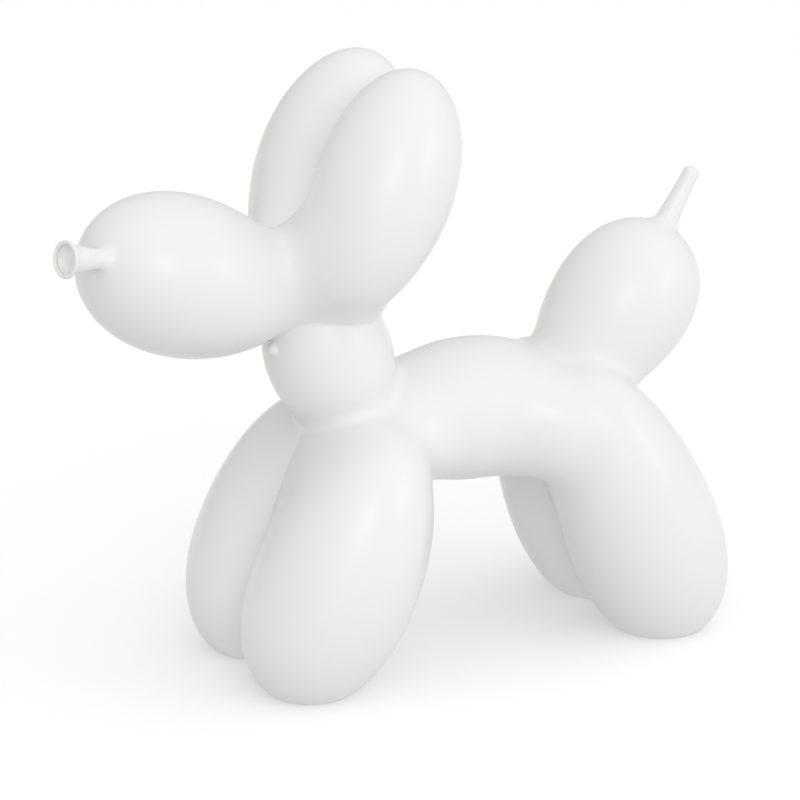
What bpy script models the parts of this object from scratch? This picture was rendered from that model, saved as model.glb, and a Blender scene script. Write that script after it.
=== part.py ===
# Balloon dog statue: a one-piece resin casting of the dog that is twisted from
# one long balloon. Metres, +Z up, the nose points along -X, the feet stand on Z = 0.
#
# The casting is built as its maker would model it. Each balloon is a turned,
# slightly pear-shaped form that starts near a twist. The balloons of the head and
# those of the trunk are each run together with soft fillets, and the head then
# sits on the neck with the sharp crease of a twist.

import math

import bmesh
import bpy
from mathutils import Vector

# Twists, in the middle plane
BACK_SPAN = 0.084            # shoulder twist to hip twist, along X
NECK_BACK = -0.0305          # head twist from the shoulder twist, along X
NECK_RISE = 0.0525           # head twist above the shoulder twist

# Trunk balloons: length, greatest width, how much fuller the free end is, and
# where the balloon starts, from its twist
BACK_LENGTH = 0.0907
BACK_WIDTH = 0.0569
BACK_SWELL = 0.03

NECK_LENGTH = 0.0651
NECK_WIDTH = 0.0496
NECK_SWELL = 0.0
NECK_LEAN = 21.0             # degrees forward of upright
NECK_START_X = -0.0030
NECK_START_Z = -0.0009

TAIL_LENGTH = 0.0869
TAIL_WIDTH = 0.0557
TAIL_SWELL = 0.19
TAIL_LEAN = 40.2             # degrees back of upright
TAIL_START_X = -0.0011
TAIL_START_Z = -0.0034

FRONT_LEG_LENGTH = 0.1136
FRONT_LEG_WIDTH = 0.0638
FRONT_LEG_SWELL = 0.12
FRONT_LEG_BLUNT = 2.10       # above 2 squares the ends a little
FRONT_LEG_LEAN = 24.2        # degrees, the foot forward
FRONT_LEG_CLOSING = 4.2      # degrees, the feet towards each other
FRONT_LEG_APART = 0.0324     # start from the middle plane
FRONT_LEG_START_X = 0.0002
FRONT_LEG_START_Z = 0.0032

HIND_LEG_LENGTH = 0.1262
HIND_LEG_WIDTH = 0.0611
HIND_LEG_SWELL = 0.20
HIND_LEG_BLUNT = 2.12
HIND_LEG_LEAN = 21.8         # degrees, the foot back
HIND_LEG_APART = 0.0250
HIND_LEG_START_X = 0.0011
HIND_LEG_START_Z = 0.0165

# Fill between the upper ends of each pair of legs
CHEST_LENGTH = 0.0776
CHEST_WIDTH = 0.0459
CHEST_LEAN = 11.4            # degrees, the lower end forward
CHEST_START_X = 0.0003
CHEST_START_Z = 0.0172
RUMP_LENGTH = 0.0595
RUMP_WIDTH = 0.0379
RUMP_LEAN = 13.4             # degrees, the lower end back
RUMP_START_X = 0.0067
RUMP_START_Z = 0.0063

# Fill where the back runs into the shoulder and into each hind leg, along X
SHOULDER_LENGTH = 0.0854
SHOULDER_WIDTH = 0.0508
SHOULDER_START_X = -0.0108
SHOULDER_START_Z = -0.0015
HIP_LENGTH = 0.0290
HIP_WIDTH = 0.0390
HIP_APART = 0.0171
HIP_START_X = -0.0255
HIP_START_Z = -0.0051

# Head balloons
SNOUT_LENGTH = 0.0908
SNOUT_WIDTH = 0.0617
SNOUT_SWELL = 0.11
SNOUT_LIFT = 18.9            # degrees, the nose up
SNOUT_START_X = 0.0012
SNOUT_START_Z = -0.0001

EAR_LENGTH = 0.0930
EAR_WIDTH = 0.0528
EAR_SWELL = 0.04
EAR_LEAN = 23.5              # degrees back of upright
EAR_CLOSING = 7.4            # degrees, the tips towards each other
EAR_APART = 0.0315
EAR_START_X = 0.0095
EAR_START_Z = 0.0058

CROWN_HEIGHT = 0.0480        # fill between the snout and the ears
CROWN_WIDTH = 0.0510
CROWN_START_X = 0.0130
CROWN_START_Z = -0.0150

# Nozzle of the balloon at the nose, with its rolled lip
NOZZLE_REACH = 0.0178        # middle of the lip from the root
NOZZLE_ROOT_X = 0.0039       # root from the end of the snout
NOZZLE_ROOT_Y = -0.0120
NOZZLE_ROOT_Z = 0.0002
NOZZLE_STEM_WIDTH = 0.0078
NOZZLE_ROOT_WIDTH = 0.0130
LIP_RING_WIDTH = 0.0128      # circle through the middle of the rolled lip
LIP_THICKNESS = 0.0016
MOUTH_DEPTH = 0.0038
MOUTH_POWER = 4              # how steep the wall of the mouth is
NOZZLE_SINK = 0.0100         # length of the root inside the snout
NOZZLE_TURN = 16.0           # degrees towards the dog's left side
NOZZLE_LIFT = 9.5            # degrees, the lip up
FUNNEL_POWER = 3             # how quickly the stem narrows behind the lip
FLARE_POWER = 3              # how late the stem flares into the snout

# Pinched tip of the balloon at the tail
TIP_LENGTH = 0.0259
TIP_ROOT_WIDTH = 0.0110
TIP_WAIST_WIDTH = 0.0063
TIP_END_WIDTH = 0.0067
TIP_END_ROUND = 0.0022       # length of the rounded end
TIP_SINK = 0.0080
TIP_LEAN = 30.5              # degrees back of upright
TIP_ROOT_X = -0.0038         # root from the end of the tail balloon
TIP_ROOT_Z = 0.0023
TIP_PINCH_SHARE = 0.15       # of the length, from the end to the full pinch
TIP_FLARE_POWER = 1.1

# Knot of the twist, a bead on the front of the neck under the jaw
KNOT_WIDTH = 0.0064
KNOT_SINK = 0.0010           # of its middle, below the surface of the neck balloon
KNOT_ALONG_NECK = 0.0476     # from the start of the neck balloon
KNOT_TURN = 12.6             # degrees towards the dog's left side

# Feet
FRONT_FOOT_TRIM = 0.0052     # depth cut off below the front feet, which leaves flat pads
HIND_FOOT_TRIM = 0.0068
FLOOR_SPAN = 0.80
FLOOR_DEPTH = 0.06

# Fillets and facets
GRAIN = 0.0024               # cell of the remeshed casting
SOFTENING_ROUNDS = 56
SOFTENING_SHARE = 0.5
SOFTENING_LOSS = 0.0008      # what the softening takes off, put back evenly
HEAD_FACET_SHARE = 0.13
TRUNK_FACET_SHARE = 0.095
PROFILE_POINTS = 30
TURN_STEPS = 44
SMALL_TURN_STEPS = 18
ARC_POINTS = 6
KNOT_POINTS = 8
LIP_TURN = 0.3 * math.pi     # how far the lip rolls back towards the stem
MERGE_DISTANCE = 0.00001

RESIN_COLOUR = (0.86, 0.86, 0.84, 1.0)
RESIN_ROUGHNESS = 0.28


def clear_scene():
    for item in list(bpy.data.objects):
        bpy.data.objects.remove(item, do_unlink=True)


def new_collection(name):
    collection = bpy.data.collections.new(name)
    bpy.context.scene.collection.children.link(collection)
    return collection


def resin():
    material = bpy.data.materials.new("white_gloss_resin")
    material.use_nodes = True
    shader = material.node_tree.nodes["Principled BSDF"]
    shader.inputs["Base Color"].default_value = RESIN_COLOUR
    shader.inputs["Roughness"].default_value = RESIN_ROUGHNESS
    shader.inputs["Metallic"].default_value = 0.0
    return material


def leaning(lean, closing=0.0):
    """Direction from upright: leaned back by lean, then aside by closing, degrees."""
    lean, closing = math.radians(lean), math.radians(closing)
    return Vector((
        math.sin(lean) * math.cos(closing),
        math.sin(closing),
        math.cos(lean) * math.cos(closing),
    ))


def balloon_radius(width, swell, along, blunt=2.0):
    """Radius of a balloon; along runs from -1 at its start to 1 at its free end.

    An ellipse whose radius grows by the share swell towards the free end. A power
    blunt above 2 squares its ends a little.
    """
    rounding = max(0.0, 1.0 - abs(along) ** blunt) ** (1.0 / blunt)
    return 0.5 * width * rounding * (1.0 + swell * along)


def balloon_profile(length, width, swell, blunt=2.0, count=PROFILE_POINTS):
    """Half outline (radius, height) of a balloon, from its free end down to its start."""
    points = []
    for i in range(count + 1):
        along = math.cos(math.pi * i / count)
        points.append((balloon_radius(width, swell, along, blunt), 0.5 * length * (1.0 + along)))
    return points


def lowest_point(profile, direction):
    """Height of the lowest point of a turned profile below or above its start."""
    side = math.sqrt(max(0.0, 1.0 - direction.z ** 2))
    return min(height * direction.z - radius * side for radius, height in profile)


def turned(name, profile, start, direction, collection, frame, steps=TURN_STEPS):
    """Profile of (radius, height) turned about the direction, from the start."""
    mesh = bpy.data.meshes.new(name)
    vertices = [(radius, 0.0, height) for radius, height in profile]
    edges = [(i, i + 1) for i in range(len(vertices) - 1)]
    mesh.from_pydata(vertices, edges, [])
    piece = bpy.data.objects.new(name, mesh)
    collection.objects.link(piece)
    piece.parent = frame
    piece.location = start
    piece.rotation_mode = "QUATERNION"
    piece.rotation_quaternion = direction.to_track_quat("Z", "Y")
    screw = piece.modifiers.new("turn", "SCREW")
    screw.axis = "Z"
    screw.steps = steps
    screw.render_steps = steps
    screw.use_merge_vertices = True
    screw.merge_threshold = MERGE_DISTANCE
    screw.use_smooth_shade = True
    as_guide(piece)
    return piece


def as_guide(piece):
    piece.hide_render = True
    piece.display_type = "WIRE"


def cut_or_join(target, other, operation):
    modifier = target.modifiers.new(f"{operation.lower()}_{other.name}", "BOOLEAN")
    modifier.operation = operation
    modifier.object = other
    modifier.solver = "EXACT"


def run_together(name, pieces, facet_share, guides, frame):
    """One body of the balloons with soft fillets."""
    shape = bmesh.new()
    view = bpy.context.evaluated_depsgraph_get()
    for piece in pieces:
        mesh = bpy.data.meshes.new_from_object(piece.evaluated_get(view))
        mesh.transform(piece.matrix_world)
        shape.from_mesh(mesh)
        bpy.data.meshes.remove(mesh)
    mesh = bpy.data.meshes.new(name)
    shape.to_mesh(mesh)
    shape.free()
    body = bpy.data.objects.new(name, mesh)
    guides.objects.link(body)
    body.parent = frame
    as_guide(body)

    remesh = body.modifiers.new("cast", "REMESH")
    remesh.mode = "VOXEL"
    remesh.voxel_size = GRAIN
    remesh.use_smooth_shade = True
    smooth = body.modifiers.new("soften", "SMOOTH")
    smooth.factor = SOFTENING_SHARE
    smooth.iterations = SOFTENING_ROUNDS
    grow = body.modifiers.new("put_back", "DISPLACE")
    grow.mid_level = 0.0
    grow.strength = SOFTENING_LOSS
    thin = body.modifiers.new("facets", "DECIMATE")
    thin.ratio = facet_share
    thin.use_collapse_triangulate = True
    return body


def neck_start(shoulder):
    return shoulder + Vector((NECK_START_X, 0.0, NECK_START_Z))


def make_trunk(guides, frame):
    """Back, neck, tail and legs as one body, with its shoulder twist and tail end."""
    front_profile = balloon_profile(
        FRONT_LEG_LENGTH, FRONT_LEG_WIDTH, FRONT_LEG_SWELL, FRONT_LEG_BLUNT
    )
    hind_profile = balloon_profile(HIND_LEG_LENGTH, HIND_LEG_WIDTH, HIND_LEG_SWELL, HIND_LEG_BLUNT)
    hip_profile = balloon_profile(HIP_LENGTH, HIP_WIDTH, 0.0)
    # A leg points down: its lean is measured from straight down
    front_down = leaning(180.0 + FRONT_LEG_LEAN, FRONT_LEG_CLOSING)
    hind_down = leaning(180.0 - HIND_LEG_LEAN)
    # The twists stand as high as the legs carry them
    front_start_z = -FRONT_FOOT_TRIM - lowest_point(front_profile, front_down)
    hind_start_z = -HIND_FOOT_TRIM - lowest_point(hind_profile, hind_down)
    shoulder = Vector((-0.5 * BACK_SPAN, 0.0, front_start_z - FRONT_LEG_START_Z))
    hip = Vector((0.5 * BACK_SPAN, 0.0, hind_start_z - HIND_LEG_START_Z))

    pieces = [turned(
        "back",
        balloon_profile(BACK_LENGTH, BACK_WIDTH, BACK_SWELL),
        shoulder,
        (hip - shoulder).normalized(),
        guides,
        frame,
    )]
    for side, name in ((-1.0, "left"), (1.0, "right")):
        across = Vector((1.0, -side, 1.0))
        start = shoulder + Vector((FRONT_LEG_START_X, side * FRONT_LEG_APART, FRONT_LEG_START_Z))
        pieces.append(turned(f"front_leg_{name}", front_profile, start, front_down * across, guides, frame))
        start = hip + Vector((HIND_LEG_START_X, side * HIND_LEG_APART, HIND_LEG_START_Z))
        pieces.append(turned(f"hind_leg_{name}", hind_profile, start, hind_down, guides, frame))
        start = hip + Vector((HIP_START_X, side * HIP_APART, HIP_START_Z))
        pieces.append(turned(f"hip_{name}", hip_profile, start, leaning(90.0), guides, frame))
    pieces.append(turned(
        "shoulder",
        balloon_profile(SHOULDER_LENGTH, SHOULDER_WIDTH, 0.0),
        shoulder + Vector((SHOULDER_START_X, 0.0, SHOULDER_START_Z)),
        leaning(90.0),
        guides,
        frame,
    ))
    pieces.append(turned(
        "chest",
        balloon_profile(CHEST_LENGTH, CHEST_WIDTH, 0.0),
        shoulder + Vector((CHEST_START_X, 0.0, CHEST_START_Z)),
        leaning(180.0 + CHEST_LEAN),
        guides,
        frame,
    ))
    pieces.append(turned(
        "rump",
        balloon_profile(RUMP_LENGTH, RUMP_WIDTH, 0.0),
        hip + Vector((RUMP_START_X, 0.0, RUMP_START_Z)),
        leaning(180.0 - RUMP_LEAN),
        guides,
        frame,
    ))
    tail_start = hip + Vector((TAIL_START_X, 0.0, TAIL_START_Z))
    tail_direction = leaning(TAIL_LEAN)
    pieces.append(turned(
        "tail",
        balloon_profile(TAIL_LENGTH, TAIL_WIDTH, TAIL_SWELL),
        tail_start,
        tail_direction,
        guides,
        frame,
    ))
    pieces.append(turned(
        "neck",
        balloon_profile(NECK_LENGTH, NECK_WIDTH, NECK_SWELL),
        neck_start(shoulder),
        leaning(-NECK_LEAN),
        guides,
        frame,
    ))
    bpy.context.view_layer.update()
    trunk = run_together("trunk", pieces, TRUNK_FACET_SHARE, guides, frame)
    return trunk, shoulder, tail_start + tail_direction * TAIL_LENGTH


def make_head(shoulder, guides, frame):
    """Snout, ears and the crown between them as one body, with the end of the snout."""
    head_twist = shoulder + Vector((NECK_BACK, 0.0, NECK_RISE))
    snout_start = head_twist + Vector((SNOUT_START_X, 0.0, SNOUT_START_Z))
    snout_direction = leaning(SNOUT_LIFT - 90.0)
    pieces = [turned(
        "snout",
        balloon_profile(SNOUT_LENGTH, SNOUT_WIDTH, SNOUT_SWELL),
        snout_start,
        snout_direction,
        guides,
        frame,
    )]
    pieces.append(turned(
        "crown",
        balloon_profile(CROWN_HEIGHT, CROWN_WIDTH, 0.0),
        head_twist + Vector((CROWN_START_X, 0.0, CROWN_START_Z)),
        leaning(0.0),
        guides,
        frame,
    ))
    ear = balloon_profile(EAR_LENGTH, EAR_WIDTH, EAR_SWELL)
    for side, name in ((-1.0, "left"), (1.0, "right")):
        start = head_twist + Vector((EAR_START_X, side * EAR_APART, EAR_START_Z))
        direction = leaning(EAR_LEAN, EAR_CLOSING) * Vector((1.0, -side, 1.0))
        pieces.append(turned(f"ear_{name}", ear, start, direction, guides, frame))
    bpy.context.view_layer.update()
    head = run_together("head", pieces, HEAD_FACET_SHARE, guides, frame)
    return head, snout_start + snout_direction * SNOUT_LENGTH


def nozzle_profile():
    """Half outline of the nozzle: dished mouth, rolled lip, stem and flared root.

    Height 0 is the middle of the lip. The mouth is a shallow dish that meets the
    inner side of the lip, and the lip is an arc of its own radius.
    """
    ring, roll = 0.5 * LIP_RING_WIDTH, 0.5 * LIP_THICKNESS
    stem, root = 0.5 * NOZZLE_STEM_WIDTH, 0.5 * NOZZLE_ROOT_WIDTH
    points = []
    mouth = ring - roll
    for i in range(ARC_POINTS):
        share = i / ARC_POINTS
        points.append((mouth * share, -MOUTH_DEPTH * (1.0 - share ** MOUTH_POWER)))
    for i in range(2 * ARC_POINTS + 1):
        angle = math.pi - (math.pi + LIP_TURN) * i / (2 * ARC_POINTS)
        points.append((ring + roll * math.cos(angle), roll * math.sin(angle)))
    # The stem narrows behind the lip and flares into the snout
    length = NOZZLE_REACH + NOZZLE_SINK
    behind = ring + roll * math.cos(LIP_TURN) - stem
    for i in range(1, 2 * ARC_POINTS + 1):
        share = i / (2 * ARC_POINTS)
        funnel = behind * (1.0 - share) ** FUNNEL_POWER
        flare = (root - stem) * share ** FLARE_POWER
        points.append((stem + funnel + flare, -roll - (length - roll) * share))
    points.append((0.0, -length))
    return points


def tip_profile():
    """Half outline of the tail's tip: rounded end, slight waist, wide root."""
    end, waist, root = 0.5 * TIP_END_WIDTH, 0.5 * TIP_WAIST_WIDTH, 0.5 * TIP_ROOT_WIDTH
    total = TIP_LENGTH + TIP_SINK
    points = []
    for i in range(ARC_POINTS):
        angle = 0.5 * math.pi * i / ARC_POINTS
        points.append((end * math.sin(angle), total - TIP_END_ROUND * (1.0 - math.cos(angle))))
    for i in range(ARC_POINTS + 1):
        share = i / ARC_POINTS
        pinch = (waist - end) * math.sin(0.5 * math.pi * min(1.0, share / TIP_PINCH_SHARE))
        taper = (root - waist) * share ** TIP_FLARE_POWER
        points.append((end + pinch + taper, (total - TIP_END_ROUND) * (1.0 - share)))
    points.append((0.0, 0.0))
    return points


def make_nozzle(snout_end, guides, frame):
    lift, turn = math.radians(NOZZLE_LIFT), math.radians(NOZZLE_TURN)
    direction = Vector((
        -math.cos(lift) * math.cos(turn),
        -math.cos(lift) * math.sin(turn),
        math.sin(lift),
    ))
    root = snout_end + Vector((NOZZLE_ROOT_X, NOZZLE_ROOT_Y, NOZZLE_ROOT_Z))
    middle = root + direction * NOZZLE_REACH
    return turned("nozzle", nozzle_profile(), middle, direction, guides, frame, SMALL_TURN_STEPS)


def make_tip(tail_end, guides, frame):
    direction = leaning(TIP_LEAN)
    start = tail_end + Vector((TIP_ROOT_X, 0.0, TIP_ROOT_Z)) - direction * TIP_SINK
    return turned("tail_tip", tip_profile(), start, direction, guides, frame, SMALL_TURN_STEPS)


def make_knot(shoulder, guides, frame):
    """Bead sunk into the surface of the neck balloon."""
    direction = leaning(-NECK_LEAN)
    forward = leaning(-NECK_LEAN - 90.0)
    turn = math.radians(KNOT_TURN)
    along = 2.0 * KNOT_ALONG_NECK / NECK_LENGTH - 1.0
    outward = forward * math.cos(turn) - Vector((0.0, 1.0, 0.0)) * math.sin(turn)
    middle = neck_start(shoulder) + direction * KNOT_ALONG_NECK
    middle += outward * (balloon_radius(NECK_WIDTH, NECK_SWELL, along) - KNOT_SINK)
    profile = balloon_profile(KNOT_WIDTH, KNOT_WIDTH, 0.0, count=KNOT_POINTS)
    start = middle - Vector((0.0, 0.0, 0.5 * KNOT_WIDTH))
    return turned("knot", profile, start, leaning(0.0), guides, frame, SMALL_TURN_STEPS)


def make_floor(guides, frame):
    """Block under the floor level, wider than the dog, that trims the feet flat."""
    bpy.ops.mesh.primitive_cube_add(size=1.0)
    block = bpy.context.object
    block.name = "floor_level"
    for collection in list(block.users_collection):
        collection.objects.unlink(block)
    guides.objects.link(block)
    block.parent = frame
    for vertex in block.data.vertices:
        vertex.co.x *= FLOOR_SPAN
        vertex.co.y *= FLOOR_SPAN
        vertex.co.z = (vertex.co.z - 0.5) * FLOOR_DEPTH
    as_guide(block)
    return block


def length_middle(piece):
    """Middle of a piece's length along X, from its evaluated mesh in the world."""
    view = bpy.context.evaluated_depsgraph_get()
    seen = piece.evaluated_get(view)
    places = [(seen.matrix_world @ vertex.co).x for vertex in seen.data.vertices]
    return 0.5 * (min(places) + max(places))


def main():
    clear_scene()
    parts = new_collection("balloon_dog_statue")
    guides = new_collection("balloons_and_cutters")
    frame = bpy.data.objects.new("frame", None)
    parts.objects.link(frame)

    trunk, shoulder, tail_end = make_trunk(guides, frame)
    head, snout_end = make_head(shoulder, guides, frame)
    cut_or_join(trunk, head, "UNION")
    cut_or_join(trunk, make_knot(shoulder, guides, frame), "UNION")
    cut_or_join(trunk, make_tip(tail_end, guides, frame), "UNION")
    cut_or_join(trunk, make_nozzle(snout_end, guides, frame), "UNION")
    cut_or_join(trunk, make_floor(guides, frame), "DIFFERENCE")

    guides.objects.unlink(trunk)
    parts.objects.link(trunk)
    trunk.name = "balloon_dog"
    trunk.hide_render = False
    trunk.display_type = "TEXTURED"
    trunk.data.materials.append(resin())

    bpy.context.view_layer.update()
    frame.location.x -= length_middle(trunk)
    bpy.context.view_layer.update()


main()
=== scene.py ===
# Balloon dog statue: the looks of a casting in white gloss resin.
# Metres, +Z up. The nose points along -X and the feet stand on Z = 0.

import math

import bmesh
import bpy
import numpy as np
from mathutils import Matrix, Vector


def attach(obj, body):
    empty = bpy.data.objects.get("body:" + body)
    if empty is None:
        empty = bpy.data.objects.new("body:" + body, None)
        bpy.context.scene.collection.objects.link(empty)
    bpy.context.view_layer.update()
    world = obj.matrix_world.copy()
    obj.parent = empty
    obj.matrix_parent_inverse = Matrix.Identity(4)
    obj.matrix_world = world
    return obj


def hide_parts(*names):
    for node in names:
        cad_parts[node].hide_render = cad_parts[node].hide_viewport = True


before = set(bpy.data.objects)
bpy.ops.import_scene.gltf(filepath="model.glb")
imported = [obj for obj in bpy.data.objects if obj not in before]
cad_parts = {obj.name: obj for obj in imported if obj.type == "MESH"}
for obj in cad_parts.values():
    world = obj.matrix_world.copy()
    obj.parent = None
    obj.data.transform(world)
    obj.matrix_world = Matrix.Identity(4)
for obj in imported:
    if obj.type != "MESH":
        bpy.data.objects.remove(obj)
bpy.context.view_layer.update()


# Camera

cameraValues = {
    "aim": (-0.0111, 0.0386, 0.0944),    # the point in the middle of the picture
    "azimuth": -26.5,      # degrees, 0 looks along +Y
    "elevation": 17.4,     # degrees above level
    "distance": 1.4196,    # from the aim
    "lens": 157.5,         # millimetres, on a sensor 36 mm wide
    "sensor": 36.0,
    "nearest": 0.05,       # metres, what the camera can see
    "farthest": 30.0,
}


# Where the point that all places below are measured from lies in the part
dogShift = (0.03698, 0.0, -0.0043)


def shifted(place):
    return np.array(place) + dogShift


def addCamera(values):
    azimuth = math.radians(values["azimuth"])
    elevation = math.radians(values["elevation"])
    back = Vector((
        math.sin(azimuth) * math.cos(elevation),
        -math.cos(azimuth) * math.cos(elevation),
        math.sin(elevation),
    ))
    data = bpy.data.cameras.new("camera")
    data.lens = values["lens"]
    data.sensor_width = values["sensor"]
    data.clip_start = values["nearest"]
    data.clip_end = values["farthest"]
    camera = bpy.data.objects.new("camera", data)
    camera.location = Vector(shifted(values["aim"])) + back * values["distance"]
    camera.rotation_euler = (0.5 * math.pi - elevation, 0.0, azimuth)
    bpy.context.scene.collection.objects.link(camera)
    bpy.context.scene.camera = camera


addCamera(cameraValues)
print("camera placed")


# The balloons of the dog. Each starts near a twist and leans back from upright.
# closing turns it towards the middle plane. swell is how much fuller the free end
# is, and blunt above 2 squares the ends a little. The ones off the middle are the
# dog's left ones, and their right ones mirror them. Chest, rump and the pads fill
# the places where the others run into each other.

balloonValues = {
    "snout": {
        "start": (-0.0760, 0.0, 0.1539), "lean": -71.1,
        "length": 0.0908, "width": 0.0617, "swell": 0.11,
    },
    "crown": {"start": (-0.0593, 0.0, 0.1358), "lean": 0.0, "length": 0.0525, "width": 0.0442},
    "ear": {
        "start": (-0.0677, -0.0315, 0.1598), "lean": 23.5, "closing": 7.4,
        "length": 0.0920, "width": 0.0528, "swell": 0.04,
    },
    "neck": {
        "start": (-0.0496, 0.0, 0.1006), "lean": -21.0,
        "length": 0.0651, "width": 0.0496, "blunt": 2.05,
    },
    "back": {
        "start": (-0.0466, 0.0, 0.1015), "lean": 91.0,
        "length": 0.0907, "width": 0.0569, "swell": 0.03,
    },
    "chest": {"start": (-0.0463, 0.0, 0.1187), "lean": -168.6, "length": 0.0776, "width": 0.0459},
    "rump": {"start": (0.0441, 0.0, 0.1063), "lean": 166.6, "length": 0.0595, "width": 0.0379},
    "hipPad": {"start": (0.0118, -0.0171, 0.0949), "lean": 90.0, "length": 0.0290, "width": 0.0401},
    "shoulderPad": {"start": (-0.0575, 0.0, 0.1000), "lean": 90.0, "length": 0.0854, "width": 0.0508},
    "frontLeg": {
        "start": (-0.0465, -0.0324, 0.1047), "lean": -155.8, "closing": 4.2,
        "length": 0.1136, "width": 0.0638, "swell": 0.12, "blunt": 2.10,
    },
    "hindLeg": {
        "start": (0.0385, -0.0250, 0.1165), "lean": 158.2,
        "length": 0.1262, "width": 0.0611, "swell": 0.20, "blunt": 2.12,
    },
    "tail": {
        "start": (0.0362, 0.0, 0.0966), "lean": 40.2,
        "length": 0.0869, "width": 0.0557, "swell": 0.19,
    },
}

# How far the fillet reaches where a balloon runs into the ones before it
filletValues = {
    "crown": 0.0186,
    "ear": 0.0247,
    "chest": 0.0015,
    "rump": 0.0058,
    "hipPad": 0.0172,
    "shoulderPad": 0.0018,
    "frontLeg": 0.0235,
    "hindLeg": 0.0118,
    "tail": 0.0080,
    "neck": 0.0060,
    "headToTrunk": 0.0012,
    "foot": 0.0012,
}


def leaned(lean, closing=0.0):
    # direction leaned back from upright by lean, then aside towards +Y by closing, degrees
    lean, closing = math.radians(lean), math.radians(closing)
    return np.array([
        math.sin(lean) * math.cos(closing),
        math.sin(closing),
        math.cos(lean) * math.cos(closing),
    ])


def readBalloon(values):
    direction = leaned(values["lean"], values.get("closing", 0.0))
    return {
        "direction": direction,
        "middle": shifted(values["start"]) + direction * 0.5 * values["length"],
        "halfLength": 0.5 * values["length"],
        "halfWidth": 0.5 * values["width"],
        "swell": values.get("swell", 0.0),
        "blunt": values.get("blunt", 2.0),
    }


balloons = {name: readBalloon(values) for name, values in balloonValues.items()}


def softUnion(first, second, reach):
    # the smaller of two distances, less a fillet where they are within reach of each other
    closeness = np.maximum(reach - np.abs(first - second), 0.0) / reach
    return np.minimum(first, second) - 0.25 * reach * closeness ** 2


def softCut(first, second, reach):
    return -softUnion(-first, -second, reach)


def alongAndAcross(points, start, direction):
    # distance along an axis from its start, and distance from the axis
    offset = points - start
    along = offset @ direction
    across = np.sqrt(np.maximum((offset ** 2).sum(axis=1) - along ** 2, 0.0))
    return along, across


# Beyond the ends of a balloon its swell levels off at this share of its half length
swellReach = 1.5
swellPower = 8


def balloonDistance(points, balloon):
    # distance outside a balloon, to first order. The balloon is where
    # share ** blunt + (across / girth) ** blunt = 1, with share from -1 at its start to 1
    # at its free end, and the girth growing along it by the share swell, up to a limit
    along, across = alongAndAcross(points, balloon["middle"], balloon["direction"])
    power = balloon["blunt"]
    share = along / balloon["halfLength"]
    limited = share / (1.0 + (share / swellReach) ** swellPower) ** (1.0 / swellPower)
    girth = balloon["halfWidth"] * (1.0 + balloon["swell"] * limited)
    lengthwise = np.abs(share)
    sideways = across / girth
    level = (lengthwise ** power + sideways ** power) ** (1.0 / power) + 1e-9
    slopeAlong = (lengthwise / level) ** (power - 1.0) / balloon["halfLength"]
    slopeAcross = (sideways / level) ** (power - 1.0) / girth
    return (level - 1.0) / np.sqrt(slopeAlong ** 2 + slopeAcross ** 2 + 1e-12)


# Nozzle of the balloon at the nose, and the pinched tip at the tail

nozzleValues = {
    "root": (-0.1580, -0.0120, 0.1835),    # where its axis meets the snout
    "lift": 9.5,           # degrees above level
    "turn": 16.0,          # degrees towards the dog's left side
    "reach": 0.0176,       # from the root to the middle of the lip
    "stemWidth": 0.0078,
    "funnelWidth": 0.0126,   # just behind the lip
    "funnelLength": 0.0140,
    "funnelPower": 1.3,    # how quickly the funnel narrows
    "wall": 0.0008,        # between the dish of the mouth and the end of the stem
    "lipWidth": 0.0128,    # circle through the middle of the rolled lip
    "lipThickness": 0.0016,
    "rollFrom": -50.0,     # the arc of the lip, degrees from straight aside
    "rollTo": 200.0,
    "flareLength": 0.0009,
    "mouthShare": 0.8,     # of the lip's own radius, taken off its circle for the mouth
    "cover": 0.00004,      # the lip's own surface lies over the stem by this
    "tuck": 0.0004,        # and dips under it by this at its far end
    "tuckFrom": 0.85,      # share of the overlap where the dip begins
    "mouthDepth": 0.0038,
    "overlap": 0.0075,     # how far behind the lip its own surface begins
    "sink": 0.0100,        # length of the root inside the snout
    "fillet": 0.0030,
}

tipValues = {
    "root": (0.0885, 0.0, 0.1653),
    "lean": 30.5,          # degrees back of upright
    "length": 0.0259,
    "rootWidth": 0.0107,
    "waistWidth": 0.0063,
    "endWidth": 0.0067,
    "endFlatness": 1.5,
    "pinchShare": 0.15,    # of the length, from the end to the full pinch
    "taperPower": 1.1,
    "sink": 0.0080,
    "fillet": 0.0035,
}

knotValues = {
    "middle": (-0.0864, -0.0047, 0.1375),
    "width": 0.0056,
    "fillet": 0.0008,
    "around": 24,
    "lengthwise": 16,
}


def nozzleAxis(values):
    lift, turn = math.radians(values["lift"]), math.radians(values["turn"])
    direction = np.array([
        -math.cos(lift) * math.cos(turn),
        -math.cos(lift) * math.sin(turn),
        math.sin(lift),
    ])
    return shifted(values["root"]) + direction * values["reach"], direction


def stemRadius(behind, values):
    # radius of the stem, at a distance behind the lip
    stem, funnel = 0.5 * values["stemWidth"], 0.5 * values["funnelWidth"]
    narrowing = np.clip(1.0 - behind / values["funnelLength"], 0.0, 1.0) ** values["funnelPower"]
    return stem + (funnel - stem) * narrowing


def stemDistance(points, values):
    # the nozzle's stem, from inside the snout to just behind the dish of the mouth
    lip, direction = nozzleAxis(values)
    along, across = alongAndAcross(points, lip, direction)
    end = values["mouthDepth"] + values["wall"]
    ends = np.maximum(end + along, -along - values["reach"] - values["sink"])
    return np.maximum(across - stemRadius(-along, values), ends)


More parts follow.
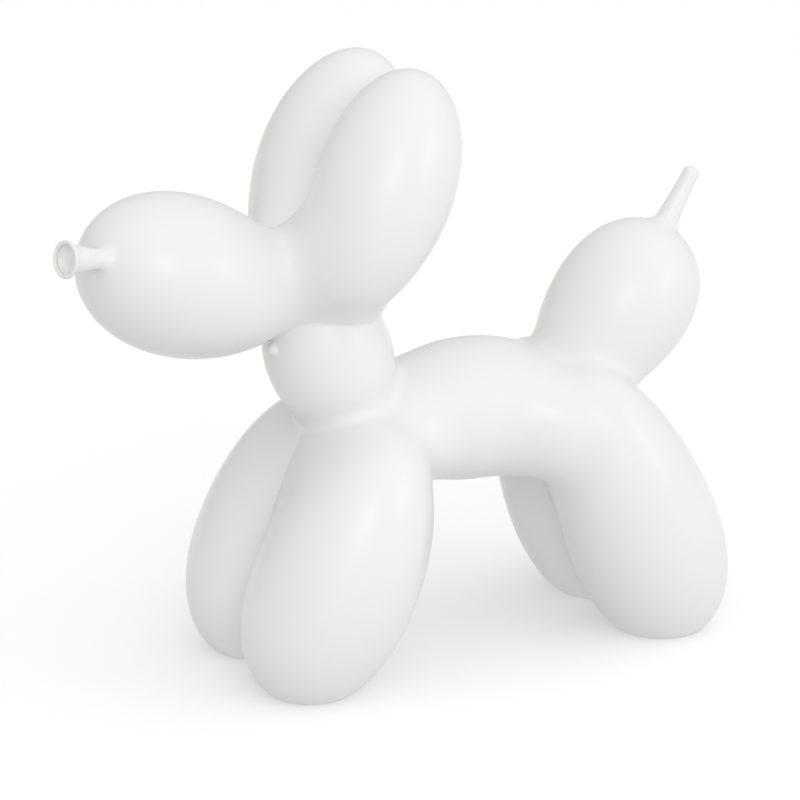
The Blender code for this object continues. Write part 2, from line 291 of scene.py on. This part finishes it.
def tipDistance(points, values):
    # a cone with a flattened round end, pinched to a slight waist behind the end
    direction = leaned(values["lean"])
    start = shifted(values["root"]) - direction * values["sink"]
    length = values["length"] + values["sink"]
    along, across = alongAndAcross(points, start, direction)
    end = 0.5 * values["endWidth"]
    waist, root = 0.5 * values["waistWidth"], 0.5 * values["rootWidth"]
    body = length - end / values["endFlatness"]
    share = np.clip((body - along) / body, 0.0, 1.0)
    pinch = (waist - end) * np.sin(0.5 * np.pi * np.minimum(1.0, share / values["pinchShare"]))
    radius = end + pinch + (root - waist) * share ** values["taperPower"]
    beyond = np.maximum(along - body, 0.0) * values["endFlatness"]
    return np.maximum(np.hypot(across, beyond) - radius, -along)


def knotDistance(points, values):
    return np.linalg.norm(points - shifted(values["middle"]), axis=1) - 0.5 * values["width"]


def headDistance(points):
    distance = balloonDistance(points, balloons["snout"])
    for name in ("crown", "ear"):
        distance = softUnion(distance, balloonDistance(points, balloons[name]), filletValues[name])
    return distance


def trunkDistance(points):
    distance = balloonDistance(points, balloons["back"])
    for name in ("chest", "rump", "hipPad", "shoulderPad", "frontLeg", "hindLeg", "tail", "neck"):
        distance = softUnion(distance, balloonDistance(points, balloons[name]), filletValues[name])
    return distance


def castingDistance(points):
    # distance outside the whole casting. The balloons are the same on both sides, so
    # they are measured from the left side
    left = points * (1.0, 0.0, 1.0) - np.abs(points) * (0.0, 1.0, 0.0)
    head, trunk = headDistance(left), trunkDistance(left)
    distance = softUnion(head, trunk, filletValues["headToTrunk"])
    distance = softUnion(distance, stemDistance(points, nozzleValues), nozzleValues["fillet"])
    distance = softUnion(distance, tipDistance(points, tipValues), tipValues["fillet"])
    distance = softUnion(distance, knotDistance(points, knotValues), knotValues["fillet"])
    return softCut(distance, -points[:, 2], filletValues["foot"])


def slope(field, points, step=0.00002):
    # how a distance changes along X, Y and Z, from two points either side
    parts = [field(points + step * axis) - field(points - step * axis) for axis in np.eye(3)]
    return np.stack(parts, axis=1) / (2.0 * step)


def ontoSurface(field, points, rounds, longest=0.003, gentlest=0.25):
    # each point moves along the slope by its distance, which puts it on the surface
    for _ in range(rounds):
        distance, incline = field(points), slope(field, points)
        size = np.maximum((incline ** 2).sum(axis=1), gentlest)
        points = points - incline * np.clip(distance / size, -longest, longest)[:, None]
    return points


def evened(field, points, edges, rounds, share=0.5):
    # points drift to the middle of their neighbours, along the surface
    count = np.bincount(edges.ravel(), minlength=len(points))[:, None]
    for _ in range(rounds):
        middle = np.stack([
            np.bincount(edges[:, 0], points[edges[:, 1], axis], len(points))
            + np.bincount(edges[:, 1], points[edges[:, 0], axis], len(points))
            for axis in range(3)
        ], axis=1) / np.maximum(count, 1)
        points = ontoSurface(field, points + share * (middle - points), 1)
    return points


# The casting

castingValues = {
    "grain": 0.00175,      # cell of the remeshed form
    "around": 64,          # points round a balloon's first surface
    "lengthwise": 40,
    "evening": 4,          # rounds that even out the mesh
    "detailReach": 0.0040,    # the mesh is finer within this of a crease or a small form
    "padHeight": 0.0008,   # and below this height
}


def turnedSurface(radii, heights, start, direction, around):
    # a profile of radius and height turned about a direction, closed by a point at
    # each end: x = start + height * direction + radius * (cos turn, sin turn)
    side = np.cross(direction, (0.0, 1.0, 0.0) if abs(direction[1]) < 0.9 else (1.0, 0.0, 0.0))
    side /= np.linalg.norm(side)
    other = np.cross(direction, side)
    turn = np.linspace(0.0, 2.0 * np.pi, around, endpoint=False)
    circle = np.cos(turn)[:, None] * side + np.sin(turn)[:, None] * other
    rings = start + heights[1:-1, None, None] * direction + radii[1:-1, None, None] * circle
    rows = len(heights) - 2
    vertices = np.concatenate([
        rings.reshape(-1, 3),
        [start + heights[0] * direction],
        [start + heights[-1] * direction],
    ])
    grid = np.arange(rows * around).reshape(rows, around)
    ahead = np.roll(grid, -1, axis=1)
    quads = np.stack([grid[:-1], ahead[:-1], ahead[1:], grid[1:]], axis=-1).reshape(-1, 4)
    low, high = rows * around, rows * around + 1
    foot = np.stack([ahead[0], grid[0], np.full(around, low)], axis=-1)
    top = np.stack([grid[-1], ahead[-1], np.full(around, high)], axis=-1)
    return vertices, quads.tolist() + foot.tolist() + top.tolist()


def balloonSurface(balloon, values):
    # radius = half width * (1 - share ** blunt) ** (1 / blunt) * (1 + swell * share)
    share = -np.cos(np.linspace(0.0, np.pi, values["lengthwise"]))
    power = balloon["blunt"]
    oval = np.maximum(1.0 - np.abs(share) ** power, 0.0) ** (1.0 / power)
    radii = balloon["halfWidth"] * oval * (1.0 + balloon["swell"] * share)
    heights = balloon["halfLength"] * share
    return turnedSurface(radii, heights, balloon["middle"], balloon["direction"], values["around"])


def mirrored(surface):
    vertices, faces = surface
    return vertices * (1.0, -1.0, 1.0), [face[::-1] for face in faces]


def firstSurfaces(values):
    surfaces = []
    for name, balloon in balloons.items():
        surface = balloonSurface(balloon, values)
        surfaces.append(surface)
        if abs(balloon["middle"][1]) > 0.001:
            surfaces.append(mirrored(surface))
    lip, direction = nozzleAxis(nozzleValues)
    length = nozzleValues["reach"] + nozzleValues["sink"]
    end = nozzleValues["mouthDepth"] + nozzleValues["wall"]
    heights = np.array([-length, -length, -nozzleValues["funnelLength"], -end, -end])
    radii = stemRadius(-heights, nozzleValues) * (0.0, 1.0, 1.0, 1.0, 0.0)
    surfaces.append(turnedSurface(radii, heights, lip, direction, values["around"]))
    direction = leaned(tipValues["lean"])
    start = shifted(tipValues["root"]) - direction * tipValues["sink"]
    length = tipValues["length"] + tipValues["sink"]
    root, end = 0.5 * tipValues["rootWidth"], 0.5 * tipValues["endWidth"]
    radii = np.array([0.0, root, end, 0.8 * end, 0.0])
    heights = np.array([0.0, 0.0, length - end, length - 0.4 * end, length])
    surfaces.append(turnedSurface(radii, heights, start, direction, values["around"]))
    share = -np.cos(np.linspace(0.0, np.pi, knotValues["lengthwise"]))
    radius = 0.5 * knotValues["width"]
    radii, heights = radius * np.sqrt(np.maximum(1.0 - share ** 2, 0.0)), radius * share
    up = np.array([0.0, 0.0, 1.0])
    middle = shifted(knotValues["middle"])
    surfaces.append(turnedSurface(radii, heights, middle, up, knotValues["around"]))
    return surfaces


def joined(surfaces):
    vertices, faces, first = [], [], 0
    for points, shape in surfaces:
        vertices.append(points)
        faces += [[corner + first for corner in face] for face in shape]
        first += len(points)
    return np.concatenate(vertices), faces


def meshFrom(name, vertices, faces):
    mesh = bpy.data.meshes.new(name)
    mesh.from_pydata(vertices.tolist(), [], faces)
    mesh.update()
    return mesh


def remeshed(mesh, grain):
    source = bpy.data.objects.new("first_form", mesh)
    bpy.context.scene.collection.objects.link(source)
    modifier = source.modifiers.new("cast", "REMESH")
    modifier.mode = "VOXEL"
    modifier.voxel_size = grain
    view = bpy.context.evaluated_depsgraph_get()
    result = bpy.data.meshes.new_from_object(source.evaluated_get(view))
    bpy.data.objects.remove(source, do_unlink=True)
    return result


def pointsOf(mesh):
    points = np.empty(3 * len(mesh.vertices))
    mesh.vertices.foreach_get("co", points)
    return points.reshape(-1, 3)


def edgesOf(mesh):
    edges = np.empty(2 * len(mesh.edges), dtype=np.int64)
    mesh.edges.foreach_get("vertices", edges)
    return edges.reshape(-1, 2)


def setPoints(mesh, points):
    mesh.vertices.foreach_set("co", points.ravel())
    mesh.update()


def finer(mesh, chosen):
    # splits each edge between two chosen points, and the faces on it
    shape = bmesh.new()
    shape.from_mesh(mesh)
    shape.verts.ensure_lookup_table()
    edges = [edge for edge in shape.edges if chosen[edge.verts[0].index] and chosen[edge.verts[1].index]]
    bmesh.ops.subdivide_edges(shape, edges=edges, cuts=1, use_grid_fill=True)
    shape.to_mesh(mesh)
    shape.free()
    mesh.update()


def nearDetail(points, reach, padHeight):
    # near the crease under the head, the nozzle, the tail's tip, the knot or a foot's pad
    left = points * (1.0, 0.0, 1.0) - np.abs(points) * (0.0, 1.0, 0.0)
    crease = np.abs(headDistance(left)) + np.abs(trunkDistance(left)) < reach
    nozzle = stemDistance(points, nozzleValues) < 0.5 * reach
    tip = tipDistance(points, tipValues) < 0.5 * reach
    knot = knotDistance(points, knotValues) < 0.5 * reach
    pad = points[:, 2] < padHeight
    return crease | nozzle | tip | knot | pad


def lipSurface(values, around):
    # the last of the funnel, the rolled lip and the dished mouth as one profile turned
    # about the nozzle's axis. Height 0 is the middle of the lip. Behind the lip
    # radius = stemRadius + flare * exp(-behind / flareLength), the lip is an arc of its
    # own radius, and the dish lies at -depth * (1 - share ** 4)
    funnelPoints, rollPoints, mouthPoints, mouthTurn = 30, 26, 18, 0.44 * np.pi
    lip, direction = nozzleAxis(values)
    ring, roll, depth = 0.5 * values["lipWidth"], 0.5 * values["lipThickness"], values["mouthDepth"]
    turn = np.radians(np.linspace(values["rollFrom"], values["rollTo"], rollPoints))
    start = math.radians(-values["rollFrom"])
    join = roll * math.sin(start)
    behind = np.linspace(values["overlap"], join, funnelPoints)[:-1]
    flare = ring + roll * math.cos(start) - stemRadius(join, values)
    last = 1.0 - values["tuckFrom"]
    tuck = np.clip(behind / values["overlap"] - values["tuckFrom"], 0.0, last) / last
    outside = stemRadius(behind, values) + values["cover"] - values["tuck"] * tuck
    outside += flare * np.exp((join - behind) / values["flareLength"])
    share = np.sin(np.linspace(mouthTurn, 0.0, mouthPoints))
    mouth = ring - values["mouthShare"] * roll
    radii = np.concatenate([[0.0], outside, ring + roll * np.cos(turn), mouth * share])
    heights = np.concatenate([
        [-values["overlap"]],
        -behind,
        roll * np.sin(turn),
        -depth * (1.0 - share ** 4),
    ])
    return turnedSurface(radii, heights, lip, direction, around)


def makeCasting(values):
    mesh = remeshed(meshFrom("first_form", *joined(firstSurfaces(values))), values["grain"])
    points = ontoSurface(castingDistance, pointsOf(mesh), 4)
    points = evened(castingDistance, points, edgesOf(mesh), values["evening"])
    setPoints(mesh, points)
    # a second remesh clears the folds where deep valleys between balloons filled up
    mesh = remeshed(mesh, values["grain"])
    points = ontoSurface(castingDistance, pointsOf(mesh), 3)
    points = evened(castingDistance, points, edgesOf(mesh), values["evening"])
    setPoints(mesh, points)
    print("casting remeshed:", len(mesh.polygons), "faces")
    finer(mesh, nearDetail(pointsOf(mesh), values["detailReach"], values["padHeight"]))
    points = evened(castingDistance, pointsOf(mesh), edgesOf(mesh), values["evening"])
    points = ontoSurface(castingDistance, points, 2)
    setPoints(mesh, points)
    incline = slope(castingDistance, points)
    normals = incline / np.linalg.norm(incline, axis=1)[:, None]

    faces = [list(face.vertices) for face in mesh.polygons]
    lip = lipSurface(nozzleValues, values["around"])
    whole = meshFrom("dog_casting", *joined([(points, faces), lip]))
    whole.polygons.foreach_set("use_smooth", np.ones(len(whole.polygons), dtype=bool))
    lipNormals = [whole.vertex_normals[i].vector for i in range(len(points), len(whole.vertices))]
    whole.normals_split_custom_set_from_vertices(normals.tolist() + lipNormals)
    casting = bpy.data.objects.new("dog_casting", whole)
    bpy.context.scene.collection.objects.link(casting)
    print("casting finished:", sum(len(face.vertices) - 2 for face in whole.polygons), "triangles")
    return casting


# Finishes

class Signal:
    # one output of a shader's nodes; sums and products of signals add their own nodes
    def __init__(self, tree, socket=None):
        self.tree = tree
        self.socket = socket

    def node(self, kind, settings, sockets, output=0):
        made = self.tree.nodes.new(kind)
        for name, value in settings.items():
            setattr(made, name, value)
        for name, value in sockets.items():
            if isinstance(value, Signal):
                self.tree.links.new(value.socket, made.inputs[name])
            else:
                made.inputs[name].default_value = value
        return Signal(self.tree, made.outputs[output])

    def maths(self, operation, first, second):
        return self.node("ShaderNodeMath", {"operation": operation}, {0: first, 1: second})

    def __add__(self, other):
        return self.maths("ADD", self, other)

    def __radd__(self, other):
        return self.maths("ADD", other, self)

    def __mul__(self, other):
        return self.maths("MULTIPLY", self, other)

    def __rmul__(self, other):
        return self.maths("MULTIPLY", other, self)


def newMaterial(name, shaderValues):
    material = bpy.data.materials.new(name)
    material.use_nodes = True
    tree = material.node_tree
    shader = tree.nodes["Principled BSDF"]
    for socket, value in shaderValues.items():
        shader.inputs[socket].default_value = value
    return material, tree, shader


resinValues = {
    "tone": (0.870, 0.870, 0.858, 1.0),
    "toneDeep": (0.850, 0.848, 0.830, 1.0),   # faint clouds in the casting
    "cloudScale": 9.0,     # clouds to a metre
    "cloudDetail": 2.0,
    "cloudFrom": 0.35,     # where the deep tone begins in the clouds, and where it is full
    "cloudTo": 0.65,
    "roughness": 0.34,
    "roughnessSpread": 0.08,
    "hazeScale": 38.0,
    "hazeDetail": 3.0,
    "ripple": 0.00012,     # metres of height in the moulded surface
    "rippleScale": 45.0,
    "rippleDetail": 1.0,
}


def resinFinish(values):
    material, tree, shader = newMaterial("white_gloss_resin", {
        "IOR": 1.5,
        "Coat Weight": 0.30,
        "Coat Roughness": 0.13,
        "Coat IOR": 1.5,
    })
    begin = Signal(tree)
    place = begin.node("ShaderNodeTexCoord", {}, {}, "Object")
    clouds, haze, ripple = [
        begin.node("ShaderNodeTexNoise", {}, {
            "Vector": place,
            "Scale": values[name + "Scale"],
            "Detail": values[name + "Detail"],
        })
        for name in ("cloud", "haze", "ripple")
    ]
    mask = begin.node(
        "ShaderNodeMapRange",
        {},
        {"Value": clouds, "From Min": values["cloudFrom"], "From Max": values["cloudTo"]},
    )
    tone = begin.node(
        "ShaderNodeMix",
        {"data_type": "RGBA"},
        {6: values["tone"], 7: values["toneDeep"], "Factor": mask},
        2,
    )
    height = ripple * values["ripple"]
    bump = begin.node("ShaderNodeBump", {}, {"Height": height, "Distance": 1.0, "Strength": 1.0})
    tree.links.new(tone.socket, shader.inputs["Base Color"])
    rough = haze * values["roughnessSpread"] + (values["roughness"] - 0.5 * values["roughnessSpread"])
    tree.links.new(rough.socket, shader.inputs["Roughness"])
    tree.links.new(bump.socket, shader.inputs["Normal"])
    return material


casting = makeCasting(castingValues)
casting.data.materials.append(resinFinish(resinValues))
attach(casting, "root")
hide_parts("balloon_dog")
print("resin finish on the casting")


# Stage: a plain pale floor, soft lights and a pale surround

stageValues = {
    "floorTone": (0.93, 0.93, 0.93, 1.0),
    "floorRoughness": 0.7,
    "floorSpecular": 0.2,
    "floorGlow": 0.155,     # light of its own, which keeps the floor near white
    "floorSpan": 12.0,
    "surround": (0.996, 1.0, 0.994),
    "surroundStrength": 0.76,
    "surroundLean": (0.073, -0.218, 0.235),   # brighter towards this direction, by this much
    "lightAim": (0.0, 0.0, 0.11),             # the point that the lights face
}

lightValues = {
    # azimuth and elevation the light comes from, degrees, its size and distance in
    # metres, and how bright it looks
    "front": {
        "azimuth": -16.0, "elevation": 26.0, "size": 0.62, "distance": 1.5,
        "glow": 1.3, "tint": (0.98, 0.99, 1.0),
    },
    "right": {
        "azimuth": 40.0, "elevation": 17.0, "size": 0.62, "distance": 1.5,
        "glow": 1.1, "tint": (0.96, 0.98, 1.0),
    },
    "wide": {
        "azimuth": -20.0, "elevation": 19.0, "size": 1.3, "distance": 1.8,
        "glow": 0.40, "tint": (0.98, 0.99, 1.0),
    },
}


def addLight(name, values, aim):
    azimuth, elevation = math.radians(values["azimuth"]), math.radians(values["elevation"])
    towards = Vector((
        math.sin(azimuth) * math.cos(elevation),
        -math.cos(azimuth) * math.cos(elevation),
        math.sin(elevation),
    ))
    data = bpy.data.lights.new(name, "AREA")
    data.shape = "DISK"
    data.size = values["size"]
    data.energy = values["glow"] * math.pi * math.pi * (0.5 * values["size"]) ** 2
    data.color = values["tint"]
    light = bpy.data.objects.new(name, data)
    light.location = Vector(aim) + towards * values["distance"]
    light.rotation_euler = towards.to_track_quat("Z", "Y").to_euler()
    bpy.context.scene.collection.objects.link(light)


def addFloor(values):
    half = 0.5 * values["floorSpan"]
    corners = np.array([[-half, -half, 0.0], [half, -half, 0.0], [half, half, 0.0], [-half, half, 0.0]])
    floor = bpy.data.objects.new("floor", meshFrom("floor", corners, [[0, 1, 2, 3]]))
    bpy.context.scene.collection.objects.link(floor)
    material = newMaterial("pale_floor", {
        "Base Color": values["floorTone"],
        "Roughness": values["floorRoughness"],
        "Specular IOR Level": values["floorSpecular"],
        "Emission Color": values["floorTone"],
        "Emission Strength": values["floorGlow"],
    })[0]
    floor.data.materials.append(material)
    floor.visible_diffuse = False      # the soft light from below is the surround's


def addSurround(values):
    # strength = surroundStrength + direction . surroundLean
    world = bpy.data.worlds.new("pale_surround")
    world.use_nodes = True
    tree = world.node_tree
    background = tree.nodes["Background"]
    background.inputs["Color"].default_value = (*values["surround"], 1.0)
    begin = Signal(tree)
    direction = begin.node("ShaderNodeTexCoord", {}, {}, "Generated")
    lean = begin.node(
        "ShaderNodeVectorMath",
        {"operation": "DOT_PRODUCT"},
        {0: direction, 1: values["surroundLean"]},
        "Value",
    )
    tree.links.new((lean + values["surroundStrength"]).socket, background.inputs["Strength"])
    bpy.context.scene.world = world


addFloor(stageValues)
addSurround(stageValues)
for name, values in lightValues.items():
    addLight(name, values, stageValues["lightAim"])
bpy.context.scene.view_settings.view_transform = "Standard"
print("stage lit")
